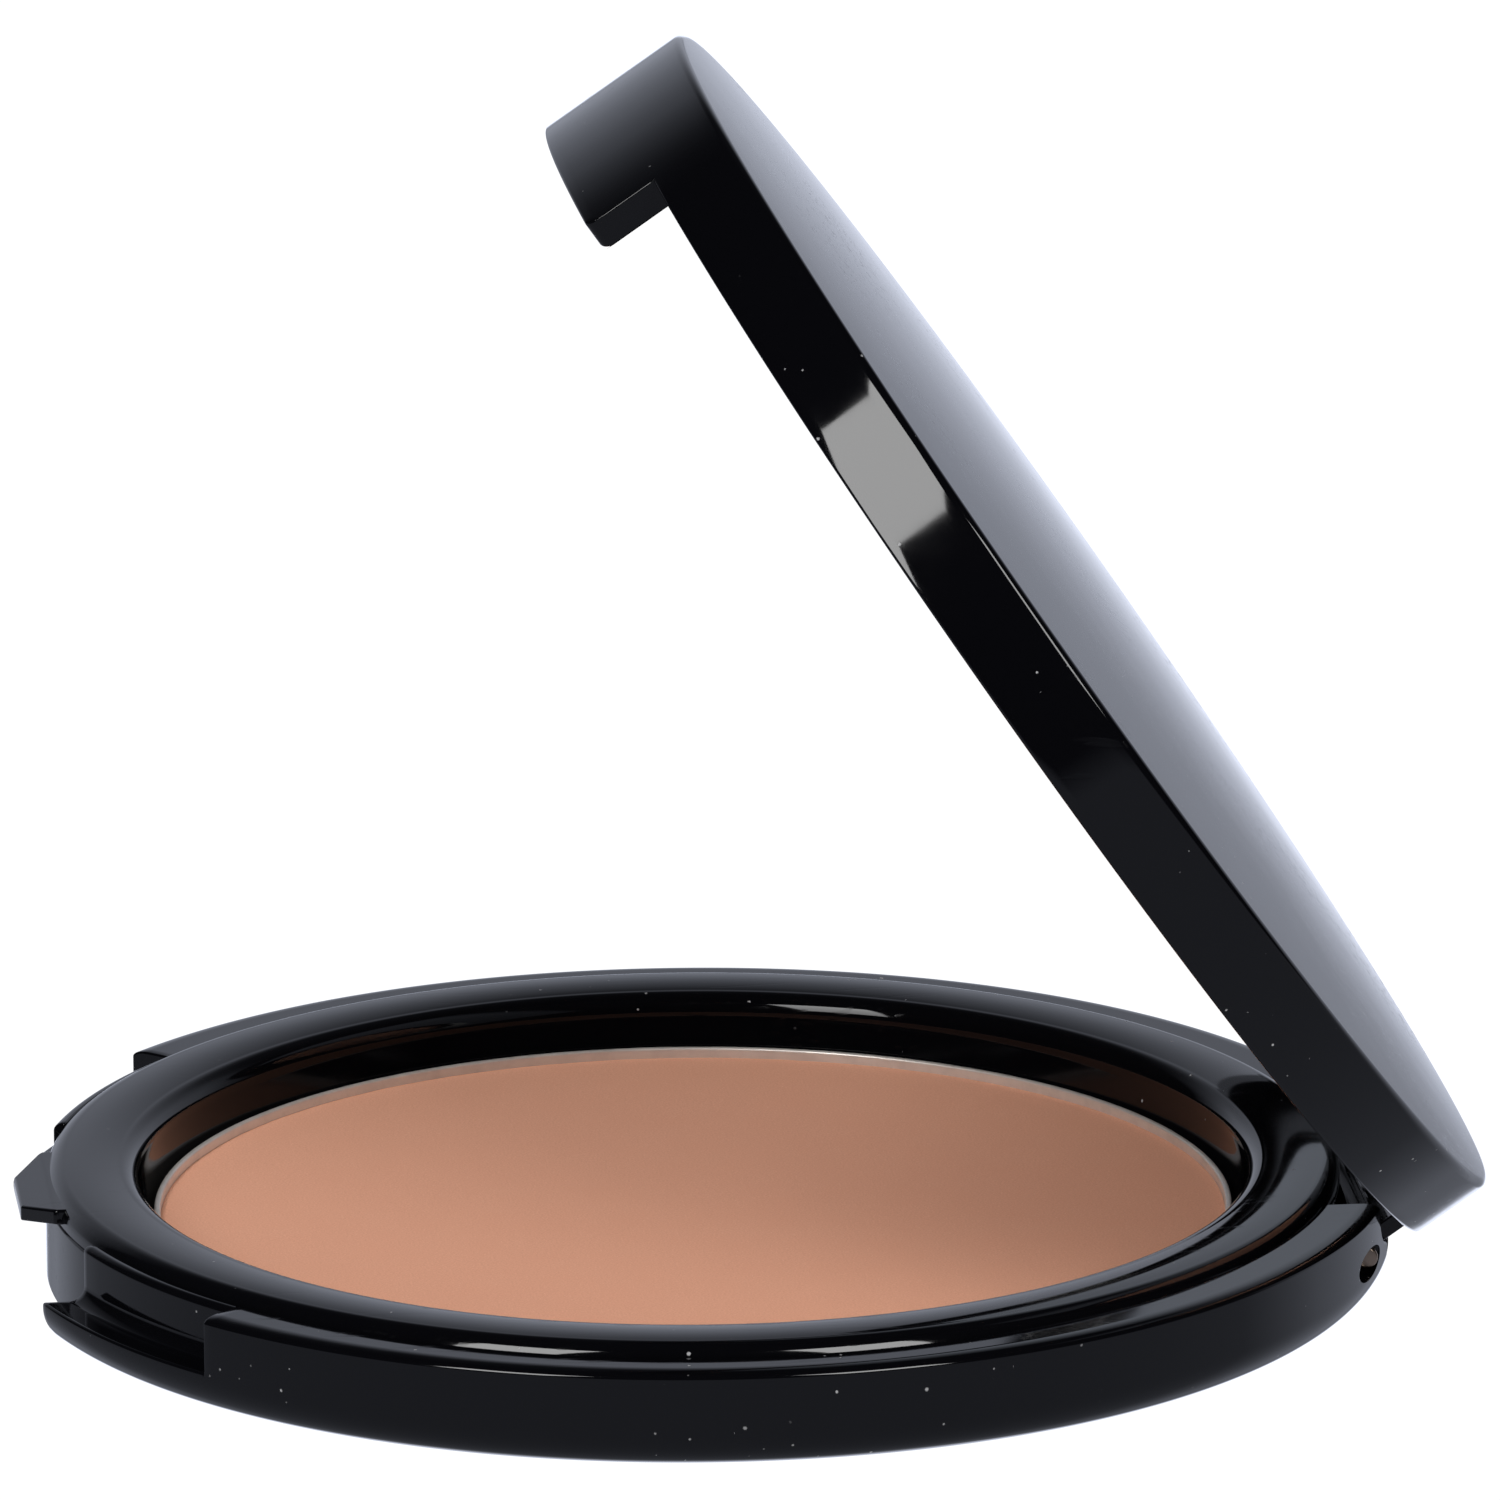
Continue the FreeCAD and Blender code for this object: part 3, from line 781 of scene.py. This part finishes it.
# ---- floor ----------------------------------------------------------------------
def floor_material():
    """Evenly lit white seen from above, clear seen from below."""
    mat = bpy.data.materials.new("floor_white")
    mat.use_nodes = True
    mat.node_tree.nodes.clear()
    n = Nodes(mat.node_tree)
    seen = n.add("ShaderNodeMixShader")
    n.link(n.add("ShaderNodeNewGeometry").outputs["Backfacing"], seen.inputs[0])
    n.link(n.add("ShaderNodeEmission", Strength=1.08).outputs[0], seen.inputs[1])
    n.link(n.add("ShaderNodeBsdfTransparent").outputs[0], seen.inputs[2])
    n.link(seen.outputs[0], n.add("ShaderNodeOutputMaterial").inputs["Surface"])
    return mat


bm = bmesh.new()
bmesh.ops.create_circle(bm, cap_ends=True, segments=96, radius=6.0)
floor_mesh = bpy.data.meshes.new("floor")
bm.to_mesh(floor_mesh)
bm.free()
floor = bpy.data.objects.new("floor", floor_mesh)
floor.location.z = -0.00005
scene.collection.objects.link(floor)
floor.visible_glossy = False
floor.data.materials.append(floor_material())

# ---- camera ---------------------------------------------------------------------
cam_turn = math.radians(-5.841)                              # from +X towards +Y
ahead = Vector((math.cos(cam_turn), math.sin(cam_turn), 0))  # level, towards the camera
aside = Vector((-ahead.y, ahead.x, 0))                       # level, to the camera's right


def direction(azimuth, elevation):
    """Unit vector from the object; azimuth 0 is towards the camera, positive to its right."""
    a, e = math.radians(azimuth), math.radians(elevation)
    level = ahead * math.cos(a) + aside * math.sin(a)
    return level * math.cos(e) + Vector((0, 0, math.sin(e)))


cam_aim, cam_distance = Vector((0, 0.003264, 0.028892)), 1.151418
cam_back, cam_roll = direction(0.0, 15.8819), math.radians(-0.2905)
cam_data = bpy.data.cameras.new("camera")
cam_data.sensor_width, cam_data.lens = 36.0, 507.6
cam_data.clip_start, cam_data.clip_end = 0.05, 20.0
camera = bpy.data.objects.new("camera", cam_data)
scene.collection.objects.link(camera)
axes = Matrix((aside, cam_back.cross(aside), cam_back)).transposed().to_4x4()
axes = axes @ Matrix.Rotation(cam_roll, 4, "Z")
camera.matrix_world = Matrix.Translation(cam_aim + cam_back * cam_distance) @ axes
scene.camera = camera


# ---- lights ---------------------------------------------------------------------
def softbox(name, azimuth, elevation, distance, width, height, radiance, glossy=True):
    """Rectangular area light that faces the object. radiance is what a mirror would show."""
    data = bpy.data.lights.new(name, "AREA")
    data.shape = "RECTANGLE"
    data.size, data.size_y = width, height
    data.energy = radiance * math.pi * width * height
    obj = bpy.data.objects.new(name, data)
    scene.collection.objects.link(obj)
    back = direction(azimuth, elevation)
    obj.location = Vector((0, 0, 0.02)) + back * distance
    obj.rotation_mode = "QUATERNION"
    obj.rotation_quaternion = back.to_track_quat("Z", "Y")
    obj.visible_glossy = glossy
    obj.visible_camera = False


box_distance = 1.10
box_width = 2 * box_distance * math.tan(math.radians(9.0))
box_height = 2 * box_distance * math.tan(math.radians(15.0))
for word, azimuth in (("left", -33.5), ("right", 33.5)):
    softbox("softbox_" + word, azimuth, 36.0, box_distance, box_width, box_height, 8.0)
softbox("overhead", -80.0, 67.0, 0.9, 0.40, 0.40, 5.8, glossy=False)


def height_of(degrees):
    """Z of the unit vector at an elevation."""
    return math.sin(math.radians(degrees))


def by_elevation(n, up, spots):
    """Curve over the elevation of a ray, from spots of (degrees, value) in rising order."""
    low, high = height_of(spots[0][0]), height_of(spots[-1][0])
    shares = [((height_of(degrees) - low) / (high - low), value) for degrees, value in spots]
    return n.curve(n.spread(up, low, high), shares)


# Studio round the object, by the direction of a ray. Behind it stands a pale sweep, brightest near the
# horizon, and low and straight behind a narrow white wall, with the sweep dimmer beside it.
# On the camera's side there is a dark room above a pale floor.
SWEEP = ((-90, 0.46), (-12, 0.50), (0, 0.60), (8, 0.58), (16, 0.50), (24, 0.34), (29, 0.24), (34, 0.10),
         (40, 0.03), (90, 0.03))
# brightness that the wall adds, by distance aside plus the lean of its edges
WALL = ((0.0, 1.00), (0.072, 1.00), (0.081, 0.74), (0.090, 0.42), (0.100, 0.22), (0.112, 0.09),
        (0.124, -0.03), (0.138, -0.13), (0.200, -0.15), (0.32, 0.0), (1.0, 0.0))
LEAN = ((-17, -0.056), (-15, -0.038), (-14, -0.026), (-13.5, -0.013), (-13, -0.001), (-12, 0.010),
        (-11, 0.013), (-10, 0.011), (-9, 0.0185), (-8, 0.028), (-6, 0.047))
world = bpy.data.worlds.new("studio")
scene.world = world
world.use_nodes = True
world.node_tree.nodes.clear()
n = Nodes(world.node_tree)
ray = n.add("ShaderNodeTexCoord").outputs["Generated"]
parts = n.add("ShaderNodeSeparateXYZ")
n.link(ray, parts.inputs[0])
up = parts.outputs[2]
beside = n.math("ABSOLUTE", n.dot(ray, aside))
wall = n.curve(n.math("ADD", beside, by_elevation(n, up, LEAN)), WALL)
wall = n.math("MULTIPLY", wall, n.spread(up, height_of(-4), height_of(-8)))
wall = n.math("MULTIPLY", wall, n.spread(n.dot(ray, ahead), -0.5, -0.7))
sweep = n.math("ADD", by_elevation(n, up, SWEEP), wall)
room = n.spread(up, height_of(-9), height_of(-4), 0.25, 0.012)
in_room = n.spread(n.dot(ray, direction(-12.0, 0.0)), -0.70, -0.40)
behind = n.math("MULTIPLY", n.math("SUBTRACT", 1.0, in_room), sweep)
strength = n.math("ADD", behind, n.math("MULTIPLY", in_room, room))
sky = n.add("ShaderNodeBackground")
sky.inputs["Color"].default_value = (0.80, 0.85, 1.0, 1)
n.link(strength, sky.inputs["Strength"])
n.link(sky.outputs[0], n.add("ShaderNodeOutputWorld").inputs["Surface"])

scene.view_settings.view_transform = "Standard"
